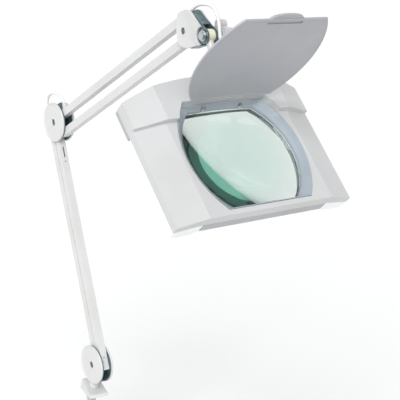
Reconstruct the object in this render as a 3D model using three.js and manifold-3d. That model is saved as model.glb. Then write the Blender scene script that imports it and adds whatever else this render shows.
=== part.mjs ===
// A desk-clamp magnifying lamp: two parallelogram arms of square tube, round joint covers,
// a tilting lamp head with a large rectangular lens between two lamps, and a hinged lens cover.
// Millimetres. +Z is up, +X points from the clamp towards the lamp head, Y is the pivot direction.
// The origin is the centre of the upper jaw pad's underside, on the swivel axis.
import * as THREE from 'three';
import { mergeVertices } from 'three/addons/utils/BufferGeometryUtils.js';
import Module from 'manifold-3d';

const wasm = await Module();
wasm.setup();

// ---------------------------------------------------------------- driving dimensions
const GAP = 0.3; // clearance between pieces that touch
const CLAMP_TURN = -13; // degrees between the clamp and the arm plane at rest

const ARM = 434; // pivot to pivot, both arms
const LOWER_ANGLE = 108.9; // degrees above horizontal, leaning back
const UPPER_ANGLE = 26.1;
const TUBE = 13; // square tube, outside
const TUBE_BORE = 10;
const FRONT_TAIL = 14.5; // how far the front tube runs past its lower pivot
const TOP_TAIL = 10;
const PIN_R = 3;
const BOLT_R = 2.5;

const PLATE_IN = 7; // joint plates: inner and outer face, either side of the arm plane
const PLATE_OUT = 9;
const PLATE_R = 34.6;
const COVER_IN = PLATE_OUT + GAP;
const COVER_OUT = 12.8;
const COVER_R = 35.8;

// pivots in their bracket, as [x, z] from the centre of the joint cover
const BASE_CENTRE = [12, 61];
const BASE_FRONT = [21.3, 9.2];
const LOWER_LINK = [-18.9, 9.4]; // from the front pivot to the rear pivot
const ELBOW_FRONT = [-5.6, -14.4];
const ELBOW_LOWER = [18.4, -19.4];
const UPPER_LINK = [-13.9, 28.3]; // from the lower pivot to the top pivot
const END_LOWER = [8.6, -8.5];
const KNUCKLE = [45, -5.3]; // tilt axis, from the end cover's screw
const KNUCKLE_R = 12;

const HEAD_TILT = 48.8; // degrees, front edge down
const KNUCKLE_IN_HEAD = [-178, 37.5]; // tilt axis in the head's own frame, x forward and z up
const HEAD_HALF = 160;
const HEAD_FRONT = 93.5;
const CREASE = 112; // half width of the flat middle
const WING_DROP = 14.5;
const STEP_X = -60.6; // the raised rear block starts here
const STEP_UP = 9;
const REAR_X = -129;
const REAR_R = 545; // the rear edge is an arc
const SHELL_LOW = -26;
const SKIRT_Z = -17.5;
const FRAME_LOW = -34;
const SHELL = 2.5;

const OPENING = { flat: 148, bulge: 30, depth: 167 }; // barrel outlines: straight front and rear
const LENS = { flat: 118, bulge: 37, depth: 158 };
const LENS_Z = -16;
const LENS_SEAT = -23.7; // the ledge that the lens rests on
const WELL_FOOT = -9; // the sloped wall ends just above the lens's edge
const BEZEL_LOW = -21;
const LENS_THICK = 31;
const LENS_R = 360; // three dioptres
const LID = { flat: 145.4, bulge: 29.4, depth: 163.6 };
const LID_AXIS = [-90.3, 13.3];
const LID_OPEN = 92.7;
const LID_LOW = 1;
const LID_THICK = 3;

const LAMP_Z = -24;
const LEAD_R = 2.7;

// ---------------------------------------------------------------- colours
const WHITE = [0xe9e9e7, 0.38, 0];
const PLASTIC = [0xe4e5e5, 0.45, 0];
const GREY = [0xb4b7bd, 0.45, 0];
const ZINC = [0x5c6b73, 0.35, 0.9];
const STEEL = [0xb9bcc0, 0.3, 0.9];
const NYLON = [0xe6dfc4, 0.5, 0];
const GLASS = [0xbfd4c8, 0.05, 0];
const OPAL = [0xf6f7f7, 0.5, 0];
const RUBBER = [0x2c2d2f, 0.8, 0];
const DARK = [0x3b3d42, 0.6, 0];

// ---------------------------------------------------------------- solids
const lamp = new THREE.Group();

function solid(geometry) {
  geometry.deleteAttribute('normal');
  geometry.deleteAttribute('uv');
  const welded = mergeVertices(geometry, 1e-4);
  const shape = new wasm.Mesh({
    numProp: 3,
    vertProperties: new Float32Array(welded.attributes.position.array),
    triVerts: new Uint32Array(welded.index.array),
  });
  shape.merge();
  return new wasm.Manifold(shape);
}

function toGeometry(body) {
  const mesh = body.getMesh();
  const geometry = new THREE.BufferGeometry();
  geometry.setAttribute('position', new THREE.BufferAttribute(new Float32Array(mesh.vertProperties), 3));
  geometry.setIndex(new THREE.BufferAttribute(new Uint32Array(mesh.triVerts), 1));
  geometry.computeVertexNormals();
  return geometry;
}

function addPart(parent, name, shape, look) {
  const [color, roughness, metalness] = look;
  const geometry = shape.isBufferGeometry ? shape : toGeometry(shape);
  const mesh = new THREE.Mesh(geometry, new THREE.MeshStandardMaterial({ color, roughness, metalness }));
  mesh.name = name;
  parent.add(mesh);
}

function polygon(points) {
  return new THREE.Shape(points.map(([x, y]) => new THREE.Vector2(x, y)));
}

// an XZ outline given thickness along Y, from y0 to y1
function slabY(shape, y0, y1, curveSegments = 8) {
  const geometry = new THREE.ExtrudeGeometry(shape, { depth: y1 - y0, bevelEnabled: false, curveSegments });
  return solid(geometry.rotateX(Math.PI / 2).translate(0, y1, 0));
}

// a YZ outline given thickness along X, from x0 to x1
function slabX(shape, x0, x1, curveSegments = 8) {
  const geometry = new THREE.ExtrudeGeometry(shape, { depth: x1 - x0, bevelEnabled: false, curveSegments });
  const turn = new THREE.Matrix4().set(0, 0, 1, x0, 1, 0, 0, 0, 0, 1, 0, 0, 0, 0, 0, 1);
  return solid(geometry.applyMatrix4(turn));
}

// an XY outline given thickness along Z, from z0 to z1
function slabZ(shape, z0, z1, curveSegments = 8) {
  const geometry = new THREE.ExtrudeGeometry(shape, { depth: z1 - z0, bevelEnabled: false, curveSegments });
  return solid(geometry.translate(0, 0, z0));
}

function box(x0, x1, y0, y1, z0, z1) {
  const geometry = new THREE.BoxGeometry(x1 - x0, y1 - y0, z1 - z0);
  return solid(geometry.translate((x0 + x1) / 2, (y0 + y1) / 2, (z0 + z1) / 2));
}

function rodY(radius, y0, y1, x = 0, z = 0, sides = 20) {
  const geometry = new THREE.CylinderGeometry(radius, radius, y1 - y0, sides);
  return solid(geometry.translate(x, (y0 + y1) / 2, z));
}

function rodZ(radius, z0, z1, x = 0, y = 0, sides = 24) {
  const geometry = new THREE.CylinderGeometry(radius, radius, z1 - z0, sides).rotateX(Math.PI / 2);
  return solid(geometry.translate(x, y, (z0 + z1) / 2));
}

function rodX(radius, x0, x1, y = 0, z = 0, sides = 16) {
  const geometry = new THREE.CylinderGeometry(radius, radius, x1 - x0, sides).rotateZ(Math.PI / 2);
  return solid(geometry.translate((x0 + x1) / 2, y, z));
}

// a closed profile of [radius, y] points turned about Y
function turned(profile, sides = 36) {
  const points = [...profile, profile[0]].map(([r, y]) => new THREE.Vector2(r, y));
  return solid(new THREE.LatheGeometry(points, sides));
}

function sum([x, z], [dx, dz]) {
  return [x + dx, z + dz];
}

function along([x, z], angle, distance) {
  const turn = THREE.MathUtils.degToRad(angle);
  return [x + distance * Math.cos(turn), z + distance * Math.sin(turn)];
}

function stadium(length, radius) {
  const shape = new THREE.Shape();
  shape.absarc(0, 0, radius, Math.PI / 2, 1.5 * Math.PI, false);
  shape.absarc(length, 0, radius, -Math.PI / 2, Math.PI / 2, false);
  shape.closePath();
  return shape;
}

// the barrel outline of the opening, lens and cover: straight front and rear edges, bowed sides
function barrelPoints({ flat, bulge, depth }, grow = 0, steps = 10, edge = 2) {
  const half = depth / 2 + grow;
  const side = flat / 2 + grow * 0.75;
  const bow = bulge + grow * 0.25;
  const radius = (half * half + bow * bow) / (2 * bow);
  const reach = Math.asin(half / radius);
  const points = [];
  for (const sign of [1, -1]) {
    for (let i = 0; i <= steps; i += 1) {
      const turn = reach * (-1 + (2 * i) / steps) * sign;
      const across = sign * (side + bow - radius + radius * Math.cos(turn));
      points.push([radius * Math.sin(turn), across]);
    }
    for (let i = 1; i < edge; i += 1) {
      points.push([sign * half, sign * side * (1 - (2 * i) / edge)]);
    }
  }
  return points;
}

function barrel(size, grow = 0) {
  return polygon(barrelPoints(size, grow));
}

// a ring whose cross-section runs through the listed outlines, each [points, z]
function loftRing(outlines) {
  const count = outlines[0][0].length;
  const positions = outlines.flatMap(([points, z]) => points.flatMap(([x, y]) => [x, y, z]));
  const index = [];
  outlines.forEach((_, ring) => {
    const next = (ring + 1) % outlines.length;
    for (let i = 0; i < count; i += 1) {
      const j = (i + 1) % count;
      const [a, b, c, d] = [ring * count + i, ring * count + j, next * count + j, next * count + i];
      index.push(a, b, c, a, c, d);
    }
  });
  const geometry = new THREE.BufferGeometry();
  geometry.setAttribute('position', new THREE.Float32BufferAttribute(positions, 3));
  geometry.setIndex(index);
  geometry.computeVertexNormals();
  return geometry;
}

// a round lead along a smooth curve through points
function lead(points, radius = LEAD_R, steps = 28, sides = 4) {
  const section = new THREE.Shape();
  section.absarc(0, 0, radius, 0, 2 * Math.PI, false);
  const path = new THREE.CatmullRomCurve3(points.map((p) => new THREE.Vector3(...p)), false, 'centripetal');
  const options = { steps, extrudePath: path, bevelEnabled: false, curveSegments: sides };
  return new THREE.ExtrudeGeometry(section, options);
}

function group(parent, x, y, z, turnY = 0, turnZ = 0) {
  const made = new THREE.Group();
  made.position.set(x, y, z);
  made.rotation.set(0, THREE.MathUtils.degToRad(turnY), THREE.MathUtils.degToRad(turnZ));
  parent.add(made);
  return made;
}

// ---------------------------------------------------------------- clamp
const JAW_LOW = 2.3; // underside of the upper jaw, above its rubber pad
const JAW_TOP = 6.6;
const JAW_FRONT = 25;
const SPINE_X = -24;
const SPINE = 7;
const LOWER_JAW = -72;
const SPIGOT_R = 6.3;
const SCREW_R = 4;
const PAD_TOP = -25; // the pressure pad at rest: 25 mm below the desk face

function buildClamp() {
  const clamp = group(lamp, 0, 0, 0, 0, CLAMP_TURN);
  const jaw = box(SPINE_X, JAW_FRONT, -15, 15, JAW_LOW, JAW_TOP);
  const spine = box(SPINE_X, SPINE_X + SPINE, -8, 8, LOWER_JAW, JAW_TOP);
  const lower = box(SPINE_X, 9, -12, 12, LOWER_JAW, LOWER_JAW + 7);
  const corner = polygon([[SPINE_X + SPINE - 1, -65.5], [-9, -65.5], [SPINE_X + SPINE - 1, -52]]);
  const nut = rodZ(10, LOWER_JAW - 3, LOWER_JAW + 11);
  const socket = rodZ(9.2, JAW_TOP - 1, 22);
  const frame = jaw.add(spine).add(lower).add(slabY(corner, -3, 3)).add(nut).add(socket)
    .subtract(rodZ(SPIGOT_R + 1.3, 4, 30))
    .subtract(rodZ(SCREW_R + GAP, LOWER_JAW - 10, LOWER_JAW + 20));
  addPart(clamp, 'clamp_frame', frame, WHITE);

  const bush = rodZ(SPIGOT_R + 1, 4.3, 22).subtract(rodZ(SPIGOT_R + 0.15, 5.5, 30));
  addPart(clamp, 'swivel_bush', bush.add(rodZ(9, 22.3, 23.6).subtract(rodZ(SPIGOT_R + 0.15, 20, 30))
    .add(rodZ(SPIGOT_R + 1, 21, 23).subtract(rodZ(SPIGOT_R + 0.15, 20, 30)))), NYLON);

  const outer = new THREE.Shape();
  outer.moveTo(-28, 0.8);
  outer.lineTo(28, 0.8);
  outer.lineTo(28, 6.2);
  outer.lineTo(26.2, 7.6);
  outer.lineTo(-24.5, 20.6);
  outer.lineTo(-26.4, 19.6);
  outer.lineTo(-28, 4.5);
  const sides = polygon([[-17.5, 0.8], [17.5, 0.8], [17.5, 4.5], [14, 22], [-14, 22], [-17.5, 4.5]]);
  const cover = slabY(outer, -17.5, 17.5).intersect(slabX(sides, -32, 32))
    .subtract(box(SPINE_X - GAP, JAW_FRONT + GAP, -15 - GAP, 15 + GAP, 0, JAW_TOP + GAP))
    .subtract(rodZ(9.2 + GAP, 0, 30));
  addPart(clamp, 'clamp_cover', cover, WHITE);
  addPart(clamp, 'jaw_pad', box(-15, 15, -13, 13, 0, JAW_LOW - GAP), RUBBER);

  const pad = rodZ(14, PAD_TOP - 5, PAD_TOP).add(rodZ(8, PAD_TOP - 10, PAD_TOP - 4))
    .subtract(rodZ(3.3, PAD_TOP - 12, PAD_TOP - 2));
  addPart(clamp, 'pressure_pad', pad, RUBBER);
  const screw = rodZ(3, PAD_TOP - 11, PAD_TOP - 2.4).add(rodZ(SCREW_R, -110, PAD_TOP - 10.4))
    .add(rodZ(7, -120, -106)).subtract(rodY(2.8, -20, 20, 0, -113));
  addPart(clamp, 'clamp_screw', screw, ZINC);
  const bar = rodY(2.5, -33, 33, 0, -113).add(rodY(3.8, -36, -32, 0, -113)).add(rodY(3.8, 32, 36, 0, -113));
  addPart(clamp, 'tommy_bar', bar, ZINC);
}

// ---------------------------------------------------------------- shared joint pieces
function coverProfile(side) {
  const at = (depth) => side * (COVER_OUT - depth);
  return [[BOLT_R + GAP, side * COVER_IN], [COVER_R, side * COVER_IN], [COVER_R, at(1)],
    [COVER_R - 1, at(0)], [COVER_R - 2.6, at(0)], [COVER_R - 3.6, at(0.6)],
    [7.4, at(0.6)], [6.8, at(0)], [5, at(0)], [5, at(1.9)], [BOLT_R + GAP, at(1.9)]];
}

function jointCover(side) {
  const profile = coverProfile(side);
  return turned(side < 0 ? profile.reverse() : profile);
}

function throughBolt() {
  const near = rodY(4.7, -COVER_OUT + 0.4, -COVER_OUT + 1.6);
  const far = rodY(4.7, COVER_OUT - 1.6, COVER_OUT - 0.4);
  const slot = box(-0.7, 0.7, -COVER_OUT - 1, -COVER_OUT + 1, -3.6, 3.6);
  return rodY(BOLT_R, -COVER_OUT + 1, COVER_OUT - 1).add(near).add(far).subtract(slot);
}

// a short screw in the near cover, clear of the tubes that pass between the plates
function nearScrew() {
  return throughBolt().intersect(rodY(6, -20, -PLATE_IN));
}

function pivotPin() {
  return rodY(PIN_R, -PLATE_OUT, PLATE_OUT);
}

function plate(side, holes) {
  const [y0, y1] = side < 0 ? [-PLATE_OUT, -PLATE_IN] : [PLATE_IN, PLATE_OUT];
  const bolt = rodY(BOLT_R + GAP, -20, 20);
  return holes.reduce((body, [x, z]) => body.subtract(rodY(PIN_R + GAP, -20, 20, x, z)),
    rodY(PLATE_R, y0, y1, 0, 0, 36).subtract(bolt));
}

function addPins(parent, names, places) {
  names.forEach((name, i) => {
    const [x, z] = places[i];
    addPart(group(parent, x, 0, z), name, pivotPin(), STEEL);
  });
}

const SIDES = [['near', -1], ['far', 1]];

// ---------------------------------------------------------------- arms
// a square tube with rounded ends, running along X from one pivot to the other;
// a tail is a square-cut end that runs on past the first pivot
function armTube(cuts = [], tail = 0) {
  const reach = TUBE / 2;
  const bar = slabY(stadium(ARM, reach), -reach, reach);
  const whole = tail > 0 ? bar.add(box(-tail, 1, -reach, reach, -reach, reach)) : bar;
  const body = whole
    .subtract(box(-20, ARM + 20, -TUBE_BORE / 2, TUBE_BORE / 2, -TUBE_BORE / 2, TUBE_BORE / 2))
    .subtract(rodY(PIN_R + 0.2, -20, 20))
    .subtract(rodY(PIN_R + 0.2, -20, 20, ARM, 0));
  return cuts.reduce((made, cut) => made.subtract(cut), body);
}

function coil(start, length, radius, wire, turns) {
  const points = [];
  const steps = turns * 6;
  for (let i = 0; i <= steps; i += 1) {
    const turn = (i / 6) * 2 * Math.PI;
    points.push([start + (length * i) / steps, radius * Math.cos(turn), radius * Math.sin(turn)]);
  }
  return lead(points, wire, steps, 3);
}

function addTube(parent, [x, z], angle, name, { cuts = [], tail = 0, spring = '' } = {}) {
  const tube = group(parent, x, 0, z, -angle);
  addPart(tube, name, armTube(cuts, tail), WHITE);
  if (spring) {
    addPart(tube, spring, coil(spring.startsWith('lower') ? 70 : 190, 170, 3.6, 0.8, 14), STEEL);
  }
  return tube;
}

const baseFront = sum(BASE_CENTRE, BASE_FRONT);
const baseRear = sum(baseFront, LOWER_LINK);
const elbowCentre = (() => {
  const top = along(baseFront, LOWER_ANGLE, ARM);
  return [top[0] - ELBOW_FRONT[0], top[1] - ELBOW_FRONT[1]];
})();
const elbowLower = sum(elbowCentre, ELBOW_LOWER);
const elbowTop = sum(elbowLower, UPPER_LINK);
const endCentre = (() => {
  const tip = along(elbowLower, UPPER_ANGLE, ARM);
  return [tip[0] - END_LOWER[0], tip[1] - END_LOWER[1]];
})();
const knuckle = sum(endCentre, KNUCKLE);

function buildBase() {
  const [x, z] = BASE_CENTRE;
  const base = group(lamp, x, 0, z);
  const holes = [BASE_FRONT, sum(BASE_FRONT, LOWER_LINK)];
  const web = box(-20, 10, -PLATE_OUT, PLATE_OUT, -33.5, -28.5);
  const spigot = rodZ(SPIGOT_R, 6 - z, -30, -x, 0);
  const collar = rodZ(8.6, 24 - z, -31, -x, 0);
  addPart(base, 'base_yoke', plate(-1, holes).add(plate(1, holes)).add(web).add(collar).add(spigot), ZINC);
  for (const [name, side] of SIDES) {
    addPart(base, `base_cover_${name}`, jointCover(side), WHITE);
  }
  addPart(base, 'base_bolt', throughBolt(), ZINC);
  addPins(base, ['base_pin_front', 'base_pin_rear'], holes);
}

function buildArms() {
  const slot = box(ARM - 54, ARM - 34, -1.3, 1.3, -TUBE, 0);
  const hole = rodZ(1.3, -TUBE, 0, ARM - 61.5, 0, 12);
  const rivet = rodZ(1.3, -TUBE, 0, 8, 0, 12);
  const front = { cuts: [slot, hole, rivet], tail: FRONT_TAIL, spring: 'lower_spring' };
  addTube(lamp, baseFront, LOWER_ANGLE, 'lower_front_tube', front);
  addTube(lamp, baseRear, LOWER_ANGLE, 'lower_rear_tube');
  addTube(lamp, elbowLower, UPPER_ANGLE, 'upper_bottom_tube', { spring: 'upper_spring' });
  const inlet = rodZ(2.6, 0, TUBE, 26, 0, 16);
  const top = addTube(lamp, elbowTop, UPPER_ANGLE, 'upper_top_tube', { cuts: [inlet], tail: TOP_TAIL });
  const gland = rodZ(4.6, TUBE / 2 + GAP, TUBE / 2 + 9, 26, 0, 24)
    .subtract(rodZ(LEAD_R + 0.5, TUBE / 2 + 4.5, TUBE + 5, 26, 0, 16));
  addPart(top, 'elbow_lead_gland', gland, PLASTIC);
}

function buildElbow() {
  const [x, z] = elbowCentre;
  const elbow = group(lamp, x, 0, z);
  const holes = [ELBOW_FRONT, sum(ELBOW_FRONT, LOWER_LINK), ELBOW_LOWER, sum(ELBOW_LOWER, UPPER_LINK)];
  for (const [name, side] of SIDES) {
    addPart(elbow, `elbow_plate_${name}`, plate(side, holes), ZINC);
    addPart(elbow, `elbow_cover_${name}`, jointCover(side), WHITE);
  }
  addPart(elbow, 'elbow_screw', nearScrew(), ZINC);
  addPins(elbow, ['elbow_pin_a', 'elbow_pin_b', 'elbow_pin_c', 'elbow_pin_d'], holes);
  const route = [[-32, 0, 8], [-37, 0, 15], [-41.5, 0, 24], [-42.5, 0, 33], [-38.5, 0, 41.5], [-29.5, 0, 48.5],
    [-17, 0, 51.8], [-4, 0, 50.6], [6, 0, 48], [13, 0, 44.6], [17.4, 0, 40.6], [19.6, 0, 37.1], [21.8, 0, 32.7]];
  addPart(elbow, 'elbow_lead', lead(route), WHITE);
}

// ---------------------------------------------------------------- arm end and knuckle
function endOutline(inset, round) {
  const [kx, kz] = KNUCKLE;
  const shape = new THREE.Shape();
  shape.moveTo(-17.4 + inset, 2);
  shape.lineTo(-15.4 + inset, 21.5);
  shape.quadraticCurveTo(-12.5 + inset, 28.5 - inset, 3, 31 - inset);
  shape.quadraticCurveTo(13 - inset, 32.5 - inset, 19 - inset, 27.2 - inset);
  if (round) {
    shape.lineTo(kx + 4, kz + 11.3);
    shape.absarc(kx, kz, KNUCKLE_R, 1.23, -1.9, true);
  } else {
    shape.absarc(kx, kz, KNUCKLE_R + 1.3, 1.82, 4.46, false);
  }
  shape.lineTo(24, -22.3 + inset);
  shape.quadraticCurveTo(4, -28 + inset, -9, -22 + inset);
  shape.quadraticCurveTo(-15.4 + inset, -18, -17.4 + inset, 2);
  return shape;
}

function buildArmEnd() {
  const [x, z] = endCentre;
  const end = group(lamp, x, 0, z);
  const [kx, kz] = KNUCKLE;
  const holes = [END_LOWER, sum(END_LOWER, UPPER_LINK)];
  const topWeb = polygon([[14, 28.4], [38.5, 11.2], [37.3, 9.5], [12.8, 26.7]]);
  const lowWeb = polygon([[14, -23.6], [33, -18.2], [33.6, -20.1], [14, -25.6]]);
  const cheeks = slabY(endOutline(1.4, true), -PLATE_OUT, -PLATE_IN)
    .add(slabY(endOutline(1.4, true), PLATE_IN, PLATE_OUT));
  const fork = holes.reduce((body, [hx, hz]) => body.subtract(rodY(PIN_R + GAP, -20, 20, hx, hz)),
    cheeks.add(slabY(topWeb, -PLATE_IN - 1, PLATE_IN + 1)).add(slabY(lowWeb, -PLATE_IN - 1, PLATE_IN + 1))
      .subtract(rodY(BOLT_R + GAP, -20, 20)).subtract(rodY(3.8, -20, 20, kx, kz)));
  addPart(end, 'end_fork', fork, ZINC);
  for (const [name, side] of SIDES) {
    const [y0, y1] = side < 0 ? [-COVER_OUT, -COVER_IN] : [COVER_IN, COVER_OUT];
    const [low, high] = side < 0 ? [-20, -COVER_OUT + 2] : [COVER_OUT - 2, 20];
    const cover = slabY(endOutline(0, false), y0, y1)
      .subtract(rodY(BOLT_R + GAP, -20, 20))
      .subtract(rodY(5, low, high));
    addPart(end, `end_cover_${name}`, cover, WHITE);
  }
  addPart(end, 'end_screw', nearScrew(), ZINC);
  addPins(end, ['end_pin_a', 'end_pin_b'], holes);

  const joint = group(end, kx, 0, kz);
  const hex = slabY(polygon([0, 1, 2, 3, 4, 5].map((i) => along([0, 0], 60 * i + 10, 6.4))), -14.2, -10.6);
  const bolt = rodY(3.5, -12, 27).add(hex).add(rodY(8.2, -10.8, -9.3));
  addPart(joint, 'tilt_bolt', bolt, STEEL);
  const lobes = [0, 1, 2, 3, 4].map((i) => {
    const [lx, lz] = along([0, 0], 72 * i + 90, 16);
    return rodY(7, 17, 30, lx, lz);
  });
  const knob = lobes.reduce((body, lobe) => body.add(lobe), rodY(15, 16, 30))
    .add(rodY(9, 15, 17)).subtract(rodY(3.8, 0, 27.4));
  addPart(joint, 'tension_knob', knob, WHITE);
}

// ---------------------------------------------------------------- head
function topSection(lift, drop, low, low2, trim = 0) {
  const half = HEAD_HALF - trim;
  const slope = (trim * drop) / (HEAD_HALF - CREASE);
  return polygon([[-half, lift - drop + slope], [-CREASE, lift], [CREASE, lift], [half, lift - drop + slope],
    [half, low2], [CREASE + 1, low], [-CREASE - 1, low], [-half, low2]].reverse());
}

function rearPlan(trim) {
  const centre = REAR_X + REAR_R;
  const radius = REAR_R - trim;
  const half = HEAD_HALF - trim;
  const reach = Math.asin(half / radius);
  const points = [[HEAD_FRONT - trim, -half], [HEAD_FRONT - trim, half]];
  for (let i = 0; i <= 16; i += 1) {
    const turn = reach * (1 - i / 8);
    points.push([centre - radius * Math.cos(turn), radius * Math.sin(turn)]);
  }
  return polygon(points);
}

function hingePosts() {
  const [ax, az] = LID_AXIS;
  const profile = new THREE.Shape();
  profile.moveTo(ax - 3.6, STEP_UP - 1);
  profile.lineTo(ax + 3.6, STEP_UP - 1);
  profile.absarc(ax, az, 3.6, 0, Math.PI, false);
  const posts = [-1, 1].flatMap((side) => [-1, 1].map((hand) => {
    const centre = side * 48 + hand * 8;
    return slabY(profile, centre - 3, centre + 3);
  }));
  return posts.map((post) => post.subtract(rodY(1.8, -70, 70, ax, az, 16)));
}

const SWITCH = [-108.5, 66];

function buildHousing(head) {
  const rearDrop = WING_DROP + 2.5;
  const front = slabX(topSection(0, WING_DROP, SKIRT_Z, SHELL_LOW), STEP_X - 5, HEAD_FRONT);
  const rear = slabX(topSection(STEP_UP, rearDrop, SHELL_LOW, SHELL_LOW), REAR_X - 5, STEP_X);
  const recess = slabZ(barrel(OPENING, 3.5), 0, 30);
  const frontIn = slabX(topSection(-SHELL, WING_DROP, -60, -60, SHELL), STEP_X - 4, HEAD_FRONT - SHELL);
  const rearIn = slabX(topSection(STEP_UP - SHELL, rearDrop, -60, -60, SHELL), REAR_X - 5, STEP_X - SHELL);
  const clear = slabZ(barrel(OPENING, 3.5 + SHELL), -SHELL, 30);
  const inner = frontIn.add(rearIn.subtract(clear)).intersect(slabZ(rearPlan(SHELL), -70, 40));
  const [sx, sy] = SWITCH;
  let shell = front.add(rear.subtract(recess)).intersect(slabZ(rearPlan(0), -60, 40))
    .subtract(inner)
    .subtract(slabZ(barrel(OPENING, 2.3), -40, 40))
    .subtract(box(sx - 10.3, sx + 10.3, sy - 7.3, sy + 7.3, 0, 30));
  for (const post of hingePosts()) {
    shell = shell.add(post);
  }
  addPart(head, 'head_housing', shell, PLASTIC);
}

function buildLowerFrame(head) {
  const ringTop = SKIRT_Z - GAP;
  const ring = box(STEP_X + 2, HEAD_FRONT, -CREASE - 0.5, CREASE + 0.5, FRAME_LOW, ringTop);
  const tray = slabZ(rearPlan(0.6), -33, SHELL_LOW - GAP).intersect(box(-140, STEP_X + 2.5, -170, 170, -60, 0));
  const basin = slabZ(rearPlan(4), -31, 0).intersect(box(-140, STEP_X - 2, -170, 170, -60, 0));
  const seat = slabZ(barrel(LENS, 0.6), LENS_SEAT, 0).add(slabZ(barrel(LENS, 3), BEZEL_LOW - GAP, 0));
  const light = slabZ(barrel(LENS, -2.4), -60, 0);
  const frame = ring.add(tray.subtract(basin)).subtract(seat).subtract(light)
    .subtract(lampWindow(-1)).subtract(lampWindow(1));
  addPart(head, 'lower_frame', frame, GREY);
}

function lensGeometry() {
  const outline = barrelPoints(LENS, 0, 8, 6);
  const rings = 6;
  const bow = (x, y) => LENS_THICK / 2 - (x * x + y * y) / (2 * LENS_R);
  const positions = [];
  const index = [];
  for (const face of [1, -1]) {
    positions.push(0, 0, LENS_Z + face * bow(0, 0));
    for (let ring = 1; ring <= rings; ring += 1) {
      for (const [px, py] of outline) {
        const [x, y] = [(px * ring) / rings, (py * ring) / rings];
        positions.push(x, y, LENS_Z + face * bow(x, y));
      }
    }
  }
  const count = outline.length;
  const faceSize = 1 + rings * count;
  const at = (face, ring, i) => face * faceSize + (ring === 0 ? 0 : 1 + (ring - 1) * count + (i % count));
  const tri = (face, a, b, c) => index.push(...(face === 1 ? [a, b, c] : [a, c, b]));
  for (const face of [0, 1]) {
    for (let i = 0; i < count; i += 1) {
      tri(face, at(face, 0, 0), at(face, 1, i), at(face, 1, i + 1));
      for (let ring = 1; ring < rings; ring += 1) {
        tri(face, at(face, ring, i), at(face, ring + 1, i), at(face, ring + 1, i + 1));
        tri(face, at(face, ring, i), at(face, ring + 1, i + 1), at(face, ring, i + 1));
      }
    }
  }
  for (let i = 0; i < count; i += 1) {
    index.push(at(0, rings, i), at(1, rings, i + 1), at(1, rings, i));
    index.push(at(0, rings, i), at(0, rings, i + 1), at(1, rings, i + 1));
  }
  const geometry = new THREE.BufferGeometry();
  geometry.setAttribute('position', new THREE.Float32BufferAttribute(positions, 3));
  geometry.setIndex(index);
  geometry.computeVertexNormals();
  return geometry;
}

function buildLens(head) {
  addPart(head, 'lens', lensGeometry(), GLASS);
  const ring = loftRing([
    [barrelPoints(OPENING, 0), 0.4],
    [barrelPoints(OPENING, 1.8), 0.4],
    [barrelPoints(LENS, 2.6), WELL_FOOT - 1],
    [barrelPoints(LENS, 2.6), BEZEL_LOW],
    [barrelPoints(LENS, 0.5), BEZEL_LOW],
    [barrelPoints(LENS, 0.5), WELL_FOOT],
  ]);
  const clips = [-34, 34].map((y) => box(-82.4, -76.5, y - 3.5, y + 3.5, -8, -5.6));
  addPart(head, 'lens_bezel', clips.reduce((body, clip) => body.add(clip), solid(ring)), GREY);
}

// the space a lamp's base passes through
function lampWindow(side) {
  return box(-70, -50, side * 136.5 - 15.5, side * 136.5 + 15.5, LAMP_Z - 7, 0);
}

function diffuserSection(inset) {
  const top = inset ? 10 : -18.4;
  const outside = inset ? 10 : -26.4;
  return [[CREASE + 1.4 + inset, top], [158.4 - inset, outside], [157 - inset, -37],
    [149 - inset, -42 + inset], [123 + inset, -42 + inset], [CREASE + 1.4 + inset, -35]];
}

function buildLamps(head) {
  for (const [name, side] of [['left', -1], ['right', 1]]) {
    const place = (points) => polygon(points.map(([y, z]) => [side * y, z]));
    const tray = slabX(place(diffuserSection(0)), STEP_X + 3, HEAD_FRONT - 0.4)
      .subtract(slabX(place(diffuserSection(2)), STEP_X + 5, HEAD_FRONT - 2.4))
      .subtract(lampWindow(side));
    addPart(head, `diffuser_${name}`, tray, OPAL);
    const [y0, y1, z] = [side * 129.5, side * 143.5, LAMP_Z];
    const tubes = rodX(6.2, -54, 78, y0, z, 16).add(rodX(6.2, -54, 78, y1, z, 16))
      .add(rodY(4.5, Math.min(y0, y1), Math.max(y0, y1), 70, z, 12))
      .add(box(-66, -53, side * 136.5 - 15, side * 136.5 + 15, z - 6.5, z + 6.5));
    addPart(head, `lamp_tube_${name}`, tubes, OPAL);
    addPart(head, `lamp_holder_${name}`, box(-88, -66.4, side * 136.5 - 15, side * 136.5 + 15, -30.5, -9), PLASTIC);
  }
  addPart(head, 'ballast', box(-120, -89, -52, 52, -30.5, -6), DARK);
}

function buildSwitch(head) {
  const [x, y] = SWITCH;
  const body = box(x - 10, x + 10, y - 7, y + 7, -6, 9.6)
    .add(box(x - 11.5, x + 11.5, y - 8.5, y + 8.5, STEP_UP + GAP, 11.4))
    .subtract(box(x - 8.5, x + 8.5, y - 5.3, y + 5.3, 5, 20));
  addPart(head, 'switch_body', body, DARK);
  const profile = polygon([[-7.6, 1.6], [0, 0], [7.6, 1.6], [7.2, -2.6], [-7.2, -2.6]].reverse());
  addPart(group(head, x, y, 10.6), 'switch_rocker', slabY(profile, -4.9, 4.9), DARK);
}

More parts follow.
